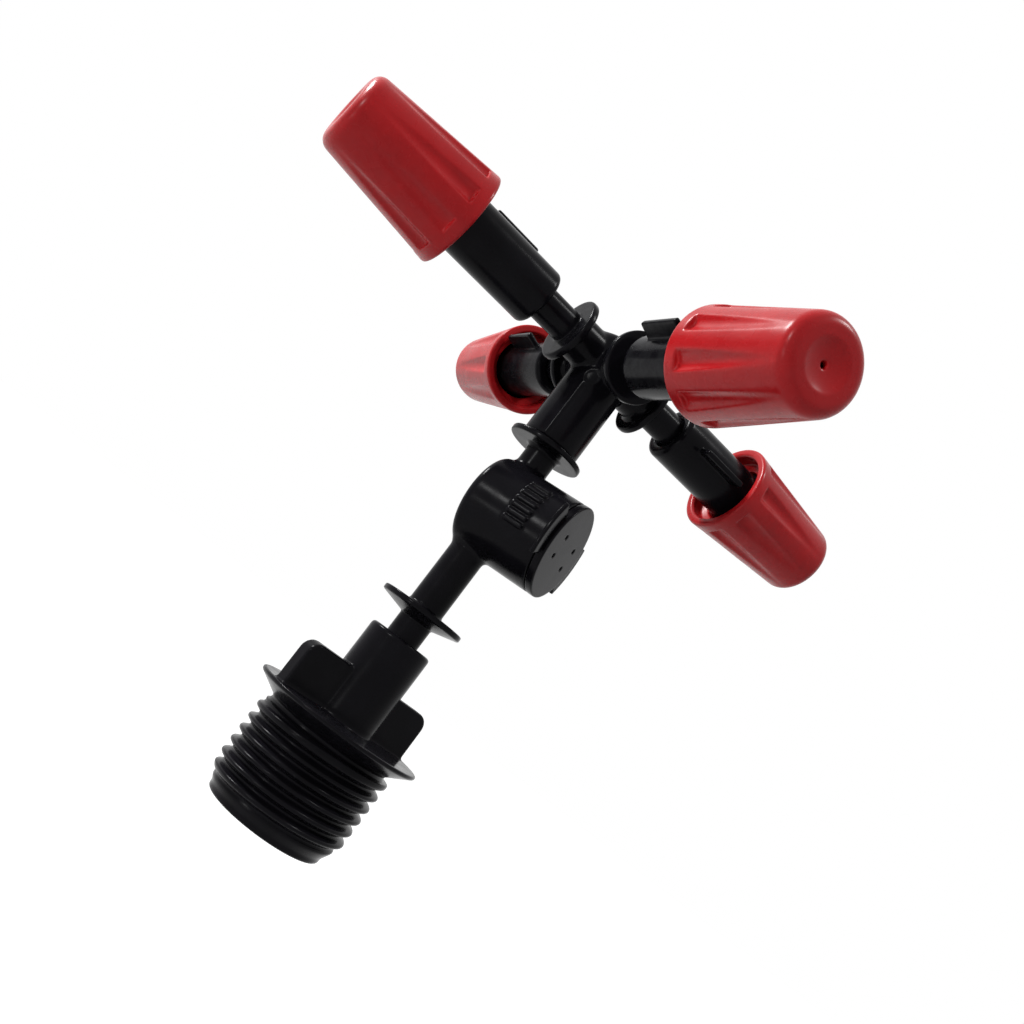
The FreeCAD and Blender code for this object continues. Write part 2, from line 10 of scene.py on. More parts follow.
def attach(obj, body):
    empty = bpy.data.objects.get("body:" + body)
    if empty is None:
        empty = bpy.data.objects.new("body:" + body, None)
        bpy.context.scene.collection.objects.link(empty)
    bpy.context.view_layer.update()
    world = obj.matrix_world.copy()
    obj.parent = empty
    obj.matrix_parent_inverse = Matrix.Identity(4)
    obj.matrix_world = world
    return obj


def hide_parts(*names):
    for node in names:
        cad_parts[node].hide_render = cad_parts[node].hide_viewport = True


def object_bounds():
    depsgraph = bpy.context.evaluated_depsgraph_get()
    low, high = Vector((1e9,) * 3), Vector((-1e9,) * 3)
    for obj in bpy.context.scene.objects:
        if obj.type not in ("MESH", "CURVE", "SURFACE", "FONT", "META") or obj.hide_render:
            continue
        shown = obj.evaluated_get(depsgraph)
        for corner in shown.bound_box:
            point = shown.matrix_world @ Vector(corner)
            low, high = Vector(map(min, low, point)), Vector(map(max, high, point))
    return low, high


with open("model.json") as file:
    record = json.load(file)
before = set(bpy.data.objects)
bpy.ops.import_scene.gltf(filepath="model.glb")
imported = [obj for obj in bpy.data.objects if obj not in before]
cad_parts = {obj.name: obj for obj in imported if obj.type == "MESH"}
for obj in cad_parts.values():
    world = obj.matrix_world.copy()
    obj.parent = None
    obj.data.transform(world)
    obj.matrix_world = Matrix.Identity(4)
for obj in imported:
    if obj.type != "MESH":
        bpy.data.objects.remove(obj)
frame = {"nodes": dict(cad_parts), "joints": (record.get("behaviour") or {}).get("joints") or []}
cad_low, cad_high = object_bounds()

# Four-outlet misting sprinkler.  The moulded pieces are rebuilt here as distance fields
# with softened edges, in millimetres and in the CAD frame, and stand for their CAD nodes.
MM = 0.001
JOINTS = {j["name"]: j for j in frame["joints"]}
PLACES = ("right_front", "right_back", "left_back", "left_front")

# ---- sizes, as in the CAD model ----
plug_r, socket_r, bead, bead_width = 2.5, 2.55, 0.3, 1.0
plug_bevel, mouth_bevel, groove_gap, plug_end_gap, past = 0.35, 0.35, 0.15, 0.4, 1.0
thread_r, thread_depth, thread_pitch = 10.3, 1.05, 1.814
thread_crest, thread_root, thread_top = 0.40, 0.34, 13.3
pilot_r, pilot_height, lead_in = 8.85, 0.8, 2.5
flange_r, flange_top, flange_rim, flange_cone = 12.6, 16.4, 0.5, 1.9
bore_r, bore_depth, inlet_hole_r, bore_bevel, bore_corner = 7.4, 14.2, 1.9, 0.4, 0.6
wing_edge, foot_fillet = 0.35, 0.35
wing_reach, wing_half, wing_top, wing_corner, wing_angle = 11.8, 1.3, 23.1, 1.8, 60.0
boss_r, boss_top, boss_edge = 4.78, 29.75, 0.5
inlet_plug_end, inlet_bead = 21.6, 24.0
collar_top, collar_r, collar_rim, collar_cone = 34.7, 6.4, 0.8, 1.0
stem_r, neck_r, stem_hole_r, neck_hole_r, stem_foot, drum_fillet = 2.67, 2.42, 1.5, 1.2, 0.4, 0.8
drum_z, drum_r, drum_back, drum_front, drum_edge = 51.94, 7.15, -3.1, 10.0, 1.1
chamber_r, chamber_back, ledge_x, cover_bore_r = 4.9, -1.5, 3.0, 5.9
seat_r, seat_hole_r, seat_gap, chamber_corner, passage_lap = 2.3, 1.0, 0.05, 0.5, 0.6
top_collar, top_collar_r, top_collar_height = 62.45, 5.78, 0.85
top_plug_end, top_bead = 70.3, 67.5
rib_count, rib_pitch, rib_mid, rib_half, rib_height = 7, 8.8, 15.0, 0.35, 0.42
rib_back, rib_front = 3.5, 6.8
# how far a joined piece reaches into the one it stands on
root = 0.5
cover_low, cover_face, cover_r, cover_wall_r, cover_end, cover_gap = 10.1, 11.25, 7.15, 4.75, 1.15, 0.05
clamp_height = 0.8
ear_r, ear_top, ear_half, ear_mid = 9.7, 10.75, 25.0, 2.0
slot_width, slot_depth, slot_low, slot_high = 0.5, 0.4, -20.0, 24.0
vent_r, vent_y, vent_z = 0.35, 3.05, 1.5
hub_z, hub_r, hub_mouth, hub_top, hub_edge, hub_fillet, hub_hole_r = 78.1, 4.38, 63.45, 82.0, 1.6, 0.7, 1.6
mark_angle, mark_half, mark_height, ring_angle, ring_z, ring_r = -90.0, 0.3, 0.12, -81.5, 74.25, 1.2
arm_r, arm_collar_r, arm_collar, arm_collar_mid, arm_hole_r = 3.3, 5.1, 1.15, 8.08, 1.3
arm_plug_end, arm_bead, arm_foot, collar_edge, hub_mouth_edge = 19.4, 16.9, 0.5, 0.3, 0.5
tube_start, tube_r, tube_edge, tube_end = 14.39, 4.32, 0.8, 30.4
core_r, ridge_start, ridge_end, ridge_height, lead = 4.7, 30.8, 35.8, 0.5, 3.0
tube_step, shank_step, ridge_middle, ridge_half, ridge_narrowing, ridge_fade = 0.4, 0.5, 0.95, 0.65, 0.3, 0.3
shank_r, nose_start, nose_r, nose_end, nozzle_hole_r = 3.95, 43.75, 2.0, 44.35, 1.2
core_bore_r, core_bore_start, nozzle_slide = 2.0, 37.8, 3.4
fin_start, fin_end, fin_r, fin_half, fin_edge, fin_fillet = 18.1, 26.1, 6.8, 0.45, 0.25, 0.3
cap_r, cap_tip_r, cap_length, cap_edge, cap_rim = 7.5, 5.67, 20.06, 1.7, 0.35
cap_mouth_r, cap_mouth_depth, cap_thread_end, cap_step, cap_bevel = 6.05, 2.0, 10.0, 0.4, 0.3
cap_thread_gap, cap_shank_gap, cone_start, cone_end = 0.1, 0.25, 17.4, 18.6
cap_place = 26.4
flute_count, flute_tool_r, flute_start, flute_depth, flute_fade, flute_soft = 9, 1.7, 2.1, 0.72, 17.5, 0.12
dish_r, dish_depth, orifice_r = 3.1, 0.6, 0.45
cap_out = {"right_front": 2.95, "right_back": 1.4, "left_back": 0.1, "left_front": 3.25}
fin_turn = {"right_front": 71.0, "right_back": 94.0, "left_back": 285.0, "left_front": 27.0}
pushed_in = {"right_front": 3.25, "right_back": 0.3, "left_back": 0.0, "left_front": 0.0}


# ==== distance fields ====
def outline(points, steps=8):
    """Outline with the corners that carry a radius turned into arcs."""
    result = []
    count = len(points)
    for i, point in enumerate(points):
        here = np.array(point[:2], float)
        if len(point) < 3:
            result.append(here)
            continue
        before = np.array(points[i - 1][:2], float) - here
        after = np.array(points[(i + 1) % count][:2], float) - here
        before /= np.linalg.norm(before)
        after /= np.linalg.norm(after)
        half = math.acos(np.clip(before @ after, -1, 1)) / 2
        middle = here + (before + after) / np.linalg.norm(before + after) * point[2] / math.sin(half)
        start = here + before * point[2] / math.tan(half) - middle
        end = here + after * point[2] / math.tan(half) - middle
        whole = math.atan2(start[0] * end[1] - start[1] * end[0], start @ end)
        for k in range(steps + 1):
            angle = whole * k / steps
            turn = np.array([[math.cos(angle), -math.sin(angle)], [math.sin(angle), math.cos(angle)]])
            result.append(middle + turn @ start)
    return result


def flat_distance(points, a, b):
    """Signed distance from a closed outline in a plane, negative inside."""
    nearest = np.full(np.broadcast(a, b).shape, 1e9)
    inside = np.zeros(nearest.shape, bool)
    for (a0, b0), (a1, b1) in zip(points, points[1:] + points[:1]):
        da, db = a1 - a0, b1 - b0
        if da == 0 and db == 0:
            continue
        t = np.clip(((a - a0) * da + (b - b0) * db) / (da * da + db * db), 0, 1)
        nearest = np.minimum(nearest, (a - a0 - t * da) ** 2 + (b - b0 - t * db) ** 2)
        if db != 0:
            inside ^= ((b0 > b) != (b1 > b)) & (a < a0 + (b - b0) * da / db)
    return np.where(inside, -1, 1) * np.sqrt(nearest)


def drawn(points, a, b, fine=0.05):
    """flat_distance for large arrays, read from a fine table."""
    points = outline(points)
    low_a, low_b = float(a.min()), float(b.min())
    ta = np.arange(low_a, float(a.max()) + 2 * fine, fine)
    tb = np.arange(low_b, float(b.max()) + 2 * fine, fine)
    table = flat_distance(points, ta[:, None], tb[None, :]).astype(np.float32)
    ia, ib = (a - low_a) / fine, (b - low_b) / fine
    ja = np.clip(ia.astype(np.int32), 0, len(ta) - 2)
    jb = np.clip(ib.astype(np.int32), 0, len(tb) - 2)
    fa, fb = (ia - ja).astype(np.float32), (ib - jb).astype(np.float32)
    return ((table[ja, jb] * (1 - fa) + table[ja + 1, jb] * fa) * (1 - fb)
            + (table[ja, jb + 1] * (1 - fa) + table[ja + 1, jb + 1] * fa) * fb)


def lathe(points, r, h):
    """Field of a revolved (radius, height) outline; a point on the axis may have radius 0."""
    return drawn([(-3.0 if p[0] == 0 else p[0],) + tuple(p[1:]) for p in points], r, h)


def rod(radius, low, high, r, h):
    return np.maximum(r - radius, np.maximum(low - h, h - high))


def join(first, *others, soft=0.0):
    """Union; soft is the width of the fillet where the surfaces meet."""
    for other in others:
        low = np.minimum(first, other)
        if soft > 0:
            low = low - np.maximum(soft - np.abs(first - other), 0) ** 2 / (4 * soft)
        first = low
    return first


def cut(first, *others):
    for other in others:
        first = np.maximum(first, -other)
    return first


def plug(low, high, bead_low):
    """Outline of a snap-in plug from low up to its end at high."""
    return [(0, low), (plug_r, low), (plug_r, bead_low), (plug_r + bead, bead_low + bead),
            (plug_r + bead, bead_low + bead_width - bead), (plug_r, bead_low + bead_width),
            (plug_r, high - plug_bevel), (plug_r - plug_bevel, high), (0, high)]


def socket(mouth, end, bead_low, slide=0.0):
    """Outline of the hole for a plug that ends at end; its mouth is at the low side."""
    low, high, groove_r = bead_low - groove_gap, bead_low + bead_width + groove_gap + slide, socket_r + bead
    floor_at = end + slide + plug_end_gap
    return [(0, mouth - past), (socket_r + mouth_bevel + past, mouth - past), (socket_r + mouth_bevel, mouth),
            (socket_r, mouth + mouth_bevel), (socket_r, low), (groove_r, low + bead),
            (groove_r, high - bead), (socket_r, high), (socket_r, floor_at), (0, floor_at)]


def upside_down(points, height):
    """The outline turned over, so that height becomes 0 at its low side."""
    return [(p[0], height - p[1]) + tuple(p[2:]) for p in points][::-1]


def soften(field, passes):
    """Rounds every edge a little; one pass spreads by about 0.7 of a cell."""
    for _ in range(passes):
        for axis in range(3):
            middle = field.swapaxes(0, axis)
            middle[1:-1] = (middle[:-2] + 2 * middle[1:-1] + middle[2:]) / 4
    return field


def surface(field, low, step):
    """Zero level of a field: a point in each cell that it crosses and a quad round each crossed edge."""
    size = np.array(field.shape)
    below = field < 0
    count = np.zeros(size - 1, np.uint8)
    for d in itertools.product((0, 1), repeat=3):
        count += below[d[0]:size[0] - 1 + d[0], d[1]:size[1] - 1 + d[1], d[2]:size[2] - 1 + d[2]]
    cells = np.argwhere((count > 0) & (count < 8))
    number = np.full(size - 1, -1, np.int32)
    number[tuple(cells.T)] = np.arange(len(cells))
    total, hits = np.zeros((len(cells), 3)), np.zeros(len(cells))
    for axis in range(3):
        for side in itertools.product((0, 1), repeat=2):
            start = np.insert(np.array(side), axis, 0)
            end = np.insert(np.array(side), axis, 1)
            fa = field[tuple((cells + start).T)].astype(float)
            fb = field[tuple((cells + end).T)].astype(float)
            crossed = (fa < 0) != (fb < 0)
            t = np.where(crossed, fa / np.where(crossed, fa - fb, 1), 0)
            place = start + t[:, None] * (end - start)
            total += np.where(crossed[:, None], place, 0)
            hits += crossed
    points = (cells + total / hits[:, None]) * step + np.array(low)
    quads = []
    for axis in range(3):
        u, v = (axis + 1) % 3, (axis + 2) % 3
        here = [slice(1, -1)] * 3
        here[axis] = slice(0, -1)
        there = list(here)
        there[axis] = slice(1, None)
        down = below[tuple(here)]
        changed = np.argwhere(down != below[tuple(there)])
        grows_out = down[tuple(changed.T)]
        changed += [0 if k == axis else 1 for k in range(3)]
        ring = []
        for du, dv in ((1, 1), (0, 1), (0, 0), (1, 0)):
            cell = changed.copy()
            cell[:, u] -= du
            cell[:, v] -= dv
            ring.append(number[tuple(cell.T)])
        ring = np.stack(ring, 1)
        quads.append(np.where(grows_out[:, None], ring, ring[:, ::-1]))
    return points, np.vstack(quads)


def slopes(field, points, low, step):
    """Unit slope of the field at each point, read between the grid's points."""
    place = (points - np.array(low)) / step
    cell = np.clip(place.astype(int), 1, np.array(field.shape) - 3)
    part = place - cell
    slope = np.zeros_like(points)
    for axis in range(3):
        ahead = np.eye(3, dtype=int)[axis]
        for d in itertools.product((0, 1), repeat=3):
            near = cell + d
            share = np.prod(np.where(np.array(d), part, 1 - part), axis=1)
            rise = field[tuple((near + ahead).T)] - field[tuple((near - ahead).T)]
            slope[:, axis] += share * rise
    return slope / np.maximum(np.linalg.norm(slope, axis=1), 1e-9)[:, None]


def moulding(shape, low, high, step, passes=2):
    """Points, quads and normals of a shape given as a function of x, y and z."""
    axes = [np.arange(a, b + step, step, dtype=np.float32) for a, b in zip(low, high)]
    x, y, z = axes[0][:, None, None], axes[1][None, :, None], axes[2][None, None, :]
    field = soften(np.ascontiguousarray(shape(x, y, z), np.float32), passes)
    points, quads = surface(field, low, step)
    return points, quads, slopes(field, points, low, step)


def piece(name, made, node, body, material, place=Matrix.Identity(4)):
    """A finished piece that stands for a CAD node and rides on its body."""
    points, quads, normals = made
    turn = np.array(place.to_3x3())
    points = (points @ turn.T + np.array(place.translation)) * MM
    normals = normals @ turn.T
    mesh = bpy.data.meshes.new(name)
    mesh.vertices.add(len(points))
    mesh.vertices.foreach_set("co", points.astype(np.float32).ravel())
    mesh.loops.add(quads.size)
    mesh.loops.foreach_set("vertex_index", quads.astype(np.int32).ravel())
    mesh.polygons.add(len(quads))
    mesh.polygons.foreach_set("loop_start", np.arange(0, quads.size, 4, dtype=np.int32))
    mesh.update(calc_edges=True)
    mesh.shade_smooth()
    mesh.normals_split_custom_set_from_vertices(normals.astype(np.float32))
    mesh.materials.append(material)
    made_object = bpy.data.objects.new(name, mesh)
    bpy.context.scene.collection.objects.link(made_object)
    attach(made_object, body)
    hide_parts(node)
    return made_object


def polar(a, b):
    return np.sqrt(a * a + b * b), np.degrees(np.arctan2(b, a))


def off_turn(angle, middle, whole=360.0):
    """How far an angle is from the nearest of the angles middle + n * whole."""
    return (angle - middle + whole / 2) % whole - whole / 2


# ==== inlet adapter ====
def adapter_shape(x, y, z):
    r, angle = polar(x, y)
    envelope = lathe([(0, 0), (pilot_r, 0, 0.3), (pilot_r, pilot_height),
                      (thread_r, pilot_height + lead_in), (thread_r, thread_top), (0, thread_top)], r, z)
    turn_height = z - thread_pitch * angle / 360
    across = off_turn(turn_height, -thread_pitch / 2, thread_pitch)
    middle = z - across
    root_r = thread_r - thread_depth + 1.2 * np.maximum(middle - (thread_top - 0.7), 0)
    half = thread_root / 2 + (r - root_r) * (thread_pitch - thread_crest - thread_root) / 2 / thread_depth
    slope = (thread_pitch - thread_crest - thread_root) / 2 / thread_depth
    groove = np.maximum((np.abs(across) - half) / math.hypot(1, slope), root_r - r)
    barrel = cut(envelope, groove)
    low = flange_top - flange_rim
    upper = lathe([(0, thread_top - 0.5), (thread_r - 0.5, thread_top - 0.5),
                   (thread_r - thread_depth, thread_top + 0.3),
                   (thread_r - thread_depth, low - flange_cone), (flange_r, low),
                   (flange_r, flange_top), (0, flange_top)], r, z)
    boss = lathe([(0, flange_top - 1), (boss_r, flange_top - 1), (boss_r, boss_top, boss_edge),
                  (0, boss_top)], r, z)
    c, s = math.cos(math.radians(wing_angle)), math.sin(math.radians(wing_angle))
    u, v = x * c + y * s, y * c - x * s
    plate = drawn([(-wing_reach, low), (-wing_reach, wing_top, wing_corner),
                   (wing_reach, wing_top, wing_corner), (wing_reach, low)],
                  np.broadcast_to(u, np.broadcast(u, z).shape), z)
    a, b = plate + wing_edge, np.abs(v) - wing_half + wing_edge
    plate = np.minimum(np.maximum(a, b), 0) + np.hypot(np.maximum(a, 0), np.maximum(b, 0)) - wing_edge
    body = join(join(barrel, upper), join(boss, plate, soft=foot_fillet), soft=foot_fillet)
    bore = lathe([(0, -past), (bore_r + bore_bevel + past, -past), (bore_r + bore_bevel, 0),
                  (bore_r, bore_bevel), (bore_r, bore_depth, bore_corner), (0, bore_depth)], r, z)
    hole = socket(0, boss_top - inlet_plug_end, boss_top - inlet_bead - bead_width)
    return cut(body, bore, rod(inlet_hole_r, bore_depth - past, inlet_plug_end, r, z),
               lathe(upside_down(hole, boss_top), r, z))


# ==== valve body ====
def valve_shape(x, y, z):
    r, _ = polar(x, y)
    h = z - drum_z
    dr, angle = polar(-y, h)
    low = collar_top - collar_rim
    stem = lathe([(0, low - collar_cone), (plug_r, low - collar_cone), (collar_r, low),
                  (collar_r, collar_top), (stem_r + stem_foot, collar_top), (stem_r, collar_top + stem_foot),
                  (stem_r, drum_z), (0, drum_z)], r, z)
    neck = lathe([(0, drum_z), (neck_r, drum_z), (neck_r, top_collar - stem_foot),
                  (neck_r + stem_foot, top_collar),
                  (top_collar_r, top_collar), (top_collar_r, top_collar + top_collar_height),
                  (0, top_collar + top_collar_height)], r, z)
    shell = lathe([(0, drum_back), (drum_r, drum_back, drum_edge), (drum_r, drum_front), (0, drum_front)],
                  dr, x)
    body = join(shell, stem, neck, soft=drum_fillet)
    nearest = off_turn(angle, rib_mid, rib_pitch)
    patch = np.abs(off_turn(angle, rib_mid)) - (rib_count * rib_pitch) / 2
    across = np.abs(np.radians(nearest) * drum_r) - rib_half
    bar = np.maximum(np.maximum(across, dr - drum_r - rib_height),
                     np.maximum(rib_back - x, x - rib_front))
    bar = np.maximum(np.maximum(bar, np.radians(patch) * drum_r), drum_r - root - dr)
    body = join(body, bar)
    inlet = plug(0, low - collar_cone - inlet_plug_end, low - collar_cone - inlet_bead - bead_width)
    body = join(body, lathe(upside_down(inlet, low - collar_cone), r, z),
                lathe(plug(top_collar, top_plug_end, top_bead), r, z))
    chamber = lathe([(0, chamber_back), (chamber_r, chamber_back, chamber_corner), (chamber_r, ledge_x),
                     (cover_bore_r, ledge_x), (cover_bore_r, drum_front + past), (0, drum_front + past)],
                    dr, x)
    post = rod(seat_r, chamber_back - root, ledge_x - seat_gap, dr, x)
    body = join(cut(body, chamber), post)
    return cut(body, rod(seat_hole_r, 0, ledge_x, dr, x),
               rod(stem_hole_r, inlet_plug_end - past, drum_z - chamber_r + passage_lap, r, z),
               rod(neck_hole_r, drum_z + chamber_r - passage_lap, top_plug_end + past, r, z))


def cover_shape(x, y, z):
    dr, angle = polar(-y, z - drum_z)
    plug_out = cover_bore_r - cover_gap
    skirt = ledge_x + clamp_height
    body = lathe([(0, skirt), (plug_out, skirt), (plug_out, cover_low),
                  (cover_r, cover_low), (cover_r, cover_face), (0, cover_face)], dr, x)
    turn = np.abs(off_turn(angle, ear_mid, 180.0)) - ear_half
    ear = np.maximum(np.maximum(dr - ear_r, np.radians(turn) * ear_r),
                     np.maximum(np.maximum(cover_low - x, x - ear_top), cover_r - past - dr))
    middle = (slot_low + slot_high) / 2
    slot = np.abs(off_turn(angle, middle)) - (slot_high - slot_low) / 2
    slot = np.maximum(np.maximum(np.abs(dr - cover_r - slot_width / 2) - slot_width / 2,
                                 np.radians(slot) * cover_r), ear_top - slot_depth - x)
    hollow = rod(cover_wall_r, ledge_x - past, cover_face - cover_end, dr, x)
    vents = np.hypot(np.abs(y) - vent_y, np.abs(z - drum_z) - vent_z) - vent_r
    return cut(join(body, cut(ear, slot)), hollow, vents)


# ==== cross hub ====
def hub_shape(x, y, z):
    r, angle = polar(x, y)
    body = lathe([(0, hub_mouth), (hub_r, hub_mouth, hub_mouth_edge), (hub_r, hub_top, hub_edge),
                  (0, hub_top)], r, z)
    low, high = arm_collar_mid - arm_collar / 2, arm_collar_mid + arm_collar / 2
    arm = [(0, 0), (arm_r, 0), (arm_r, low - arm_foot), (arm_r + arm_foot, low),
           (arm_collar_r, low, collar_edge), (arm_collar_r, high, collar_edge), (0, high)]
    end = plug(high, arm_plug_end, arm_bead)
    h = z - hub_z
    holes = []
    arms = []
    for turn in (0, 90):
        c, s = math.cos(math.radians(turn + 45)), math.sin(math.radians(turn + 45))
        along, side = np.abs(x * c + y * s), y * c - x * s
        across = np.sqrt(side * side + h * h)
        along = np.broadcast_to(along, across.shape)
        arms.append(join(lathe(arm, across, along), lathe(end, across, along)))
        holes.append(rod(arm_hole_r, 0, arm_plug_end + past, across, along))
    across = hub_r * np.radians(off_turn(angle, mark_angle))
    parting = np.clip(1 - (across / mark_half) ** 2, 0, 1) * (z > hub_mouth + 0.3) * (z < ring_z - ring_r)
    off_ring = np.sqrt((hub_r * np.radians(off_turn(angle, ring_angle))) ** 2 + (z - ring_z) ** 2) - ring_r
    body = body - mark_height * np.maximum(parting, np.clip(1 - (off_ring / mark_half) ** 2, 0, 1))
    body = join(body, join(*arms), soft=hub_fillet)
    return cut(body, lathe(socket(hub_mouth, top_plug_end, top_bead), r, z),
               rod(hub_hole_r, top_plug_end, hub_z, r, z), *holes)


# ==== nozzles and caps, about +Z from the main axis or from the cap's base ====
def nozzle_shape(x, y, z):
    r, angle = polar(x, y)
    tube = lathe([(0, tube_start), (tube_r, tube_start, tube_edge), (tube_r, tube_end),
                  (core_r, tube_end + tube_step), (core_r, ridge_end), (shank_r, ridge_end + shank_step),
                  (shank_r, nose_start), (nose_r, nose_end), (0, nose_end)], r, z)
    sides = [side + fin_edge for side in (np.abs(y) - fin_half, x - fin_r, fin_start - z, z - fin_end)]
    outer = np.sqrt(sum(np.maximum(side, 0) ** 2 for side in sides))
    inner = np.minimum(np.maximum(np.maximum(sides[0], sides[1]), np.maximum(sides[2], sides[3])), 0)
    fin = np.maximum(outer + inner - fin_edge, -x)
    body = join(tube, fin, soft=fin_fillet)
    across = off_turn(z - lead * angle / 360, ridge_start + ridge_middle, lead)
    half = ridge_half - (r - core_r) * ridge_narrowing / ridge_height
    ends = np.maximum(ridge_start + ridge_fade - z, z - ridge_end + ridge_fade)
    ridge = np.maximum(np.maximum(np.abs(across) - half, r - core_r - ridge_height),
                       np.maximum(ends, core_r - ridge_fade - r))
    body = join(body, ridge)
    return cut(body, lathe(socket(tube_start, arm_plug_end, arm_bead, nozzle_slide), r, z),
               rod(nozzle_hole_r, arm_plug_end, core_bore_start + past, r, z),
               rod(core_bore_r, core_bore_start, nose_end + past, r, z))


def cap_shape(x, y, z):
    r, angle = polar(x, y)
    body = lathe([(0, 0), (cap_r, 0, cap_rim), (cap_tip_r, cap_length, cap_edge), (0, cap_length)], r, z)
    step = 360.0 / flute_count
    fold = np.radians(off_turn(angle, step / 2, step))
    slope = (cap_r - cap_tip_r) / cap_length
    start_r = cap_r - slope * flute_start - flute_depth
    tilt = math.atan2(start_r - (cap_r - slope * flute_fade), flute_fade - flute_start)
    a, b = r * np.cos(fold) - start_r - flute_tool_r, r * np.sin(fold)
    h = z - flute_start
    tool = np.sqrt((a * math.cos(tilt) + h * math.sin(tilt)) ** 2 + b * b) - flute_tool_r
    tool = np.maximum(tool, a * math.sin(tilt) - h * math.cos(tilt))
    body = -join(-body, tool, soft=flute_soft)
    thread_hole, shank_hole = core_r + cap_thread_gap, shank_r + cap_shank_gap
    hollow = lathe([(0, -past), (cap_mouth_r + cap_bevel + past, -past), (cap_mouth_r + cap_bevel, 0),
                    (cap_mouth_r, cap_bevel), (cap_mouth_r, cap_mouth_depth),
                    (thread_hole, cap_mouth_depth + cap_step), (thread_hole, cap_thread_end),
                    (shank_hole, cap_thread_end), (shank_hole, cone_start), (orifice_r, cone_end),
                    (orifice_r, cap_length + past), (0, cap_length + past)], r, z)
    ball_r = (dish_r ** 2 + dish_depth ** 2) / (2 * dish_depth)
    dish = np.sqrt(r * r + (z - cap_length + dish_depth - ball_r) ** 2) - ball_r
    return cut(body, hollow, dish)


# ==== materials ====
def graph(material):
    return material.node_tree.nodes, material.node_tree.links


def noise(material, scale, detail=3.0):
    """A noise pattern fixed to the piece, with scale in cycles a metre."""
    nodes, links = graph(material)
    coords = nodes.get("Texture Coordinate") or nodes.new("ShaderNodeTexCoord")
    pattern = nodes.new("ShaderNodeTexNoise")
    pattern.inputs["Scale"].default_value = scale
    pattern.inputs["Detail"].default_value = detail
    links.new(coords.outputs["Object"], pattern.inputs["Vector"])
    return pattern.outputs["Fac"]


def ranged(material, value, from_low, from_high, to_low, to_high):
    nodes, links = graph(material)
    node = nodes.new("ShaderNodeMapRange")
    links.new(value, node.inputs["Value"])
    for name, number in (("From Min", from_low), ("From Max", from_high),
                         ("To Min", to_low), ("To Max", to_high)):
        node.inputs[name].default_value = number
    return node.outputs["Result"]


def blended(material, share, first, second):
    nodes, links = graph(material)
    node = nodes.new("ShaderNodeMix")
    node.data_type = "RGBA"
    links.new(share, node.inputs[0])
    for place, colour in ((6, first), (7, second)):
        if isinstance(colour, tuple):
            node.inputs[place].default_value = (*colour, 1)
        else:
            links.new(colour, node.inputs[place])
    return node.outputs[2]


def plastic(name, colour, other, worn, roughness, grain, specular=0.5, grain_scale=2500.0):
    """Moulded plastic: clouded colour, uneven gloss, fine grain and paler rubbed edges."""
    material = bpy.data.materials.new(name)
    material.use_nodes = True
    nodes, links = graph(material)
    shader = nodes["Principled BSDF"]
    clouds = ranged(material, noise(material, 180.0), 0.35, 0.65, 0, 1)
    base = blended(material, clouds, colour, other)
    geometry = nodes.new("ShaderNodeNewGeometry")
    rubbed = ranged(material, geometry.outputs["Pointiness"], 0.54, 0.62, 0, 1)
    scuffs = ranged(material, noise(material, 900.0, 5.0), 0.4, 0.6, 0.1, 1)
    wear = nodes.new("ShaderNodeMath")
    wear.operation = "MULTIPLY"
    links.new(rubbed, wear.inputs[0])
    links.new(scuffs, wear.inputs[1])
    links.new(blended(material, wear.outputs[0], base, worn), shader.inputs["Base Color"])
    gloss = ranged(material, noise(material, 400.0, 4.0), 0.3, 0.7, roughness[0], roughness[1])
    links.new(gloss, shader.inputs["Roughness"])
    shader.inputs["Specular IOR Level"].default_value = specular
    bump = nodes.new("ShaderNodeBump")
    bump.inputs["Strength"].default_value = grain
    bump.inputs["Distance"].default_value = 0.00002
    links.new(noise(material, grain_scale, 4.0), bump.inputs["Height"])
    links.new(bump.outputs["Normal"], shader.inputs["Normal"])
    return material


black = plastic("black_moulding", (0.0055, 0.0052, 0.0068), (0.0085, 0.008, 0.0105), (0.014, 0.014, 0.016),
                (0.16, 0.26), 0.2, 0.045)
red = plastic("red_moulding", (0.58, 0.016, 0.02), (0.52, 0.013, 0.017), (0.6, 0.022, 0.026),
              (0.22, 0.32), 0.1, 0.16)
white = plastic("white_moulding", (0.78, 0.78, 0.75), (0.7, 0.7, 0.66), (0.85, 0.85, 0.83), (0.35, 0.5), 0.2)
silicone = plastic("silicone", (0.7, 0.7, 0.66), (0.62, 0.61, 0.57), (0.74, 0.74, 0.7), (0.5, 0.65), 0.3)
rubber = plastic("rubber", (0.02, 0.02, 0.02), (0.03, 0.03, 0.03), (0.05, 0.05, 0.05), (0.5, 0.7), 0.5)
steel = plastic("spring_steel", (0.56, 0.56, 0.55), (0.5, 0.49, 0.48), (0.65, 0.65, 0.64), (0.2, 0.35), 0.3)
steel.node_tree.nodes["Principled BSDF"].inputs["Metallic"].default_value = 1.0

INSIDE = {"valve_diaphragm": silicone, "valve_plunger": white, "valve_spring": steel}
for place in PLACES:
    INSIDE["swirl_core_" + place] = white
    INSIDE["seal_ring_" + place] = rubber
for node, material in INSIDE.items():
    frame["nodes"][node].data.materials.clear()
    frame["nodes"][node].data.materials.append(material)


# ==== the pieces ====
def arm_place(where, turn, out=0.0):
    """Matrix that lays a shape made about +Z on an arm, its +X upwards before the turn."""
    z_to = Vector(JOINTS["nozzle_swivel_" + where]["axis"])
    x_to = Vector((0, 0, 1))
    y_to = z_to.cross(x_to)
    rows = Matrix((x_to, y_to, z_to)).transposed().to_4x4()
    rows.translation = Vector((0, 0, hub_z))
    return rows @ Matrix.Rotation(math.radians(turn), 4, "Z") @ Matrix.Translation((0, 0, out))


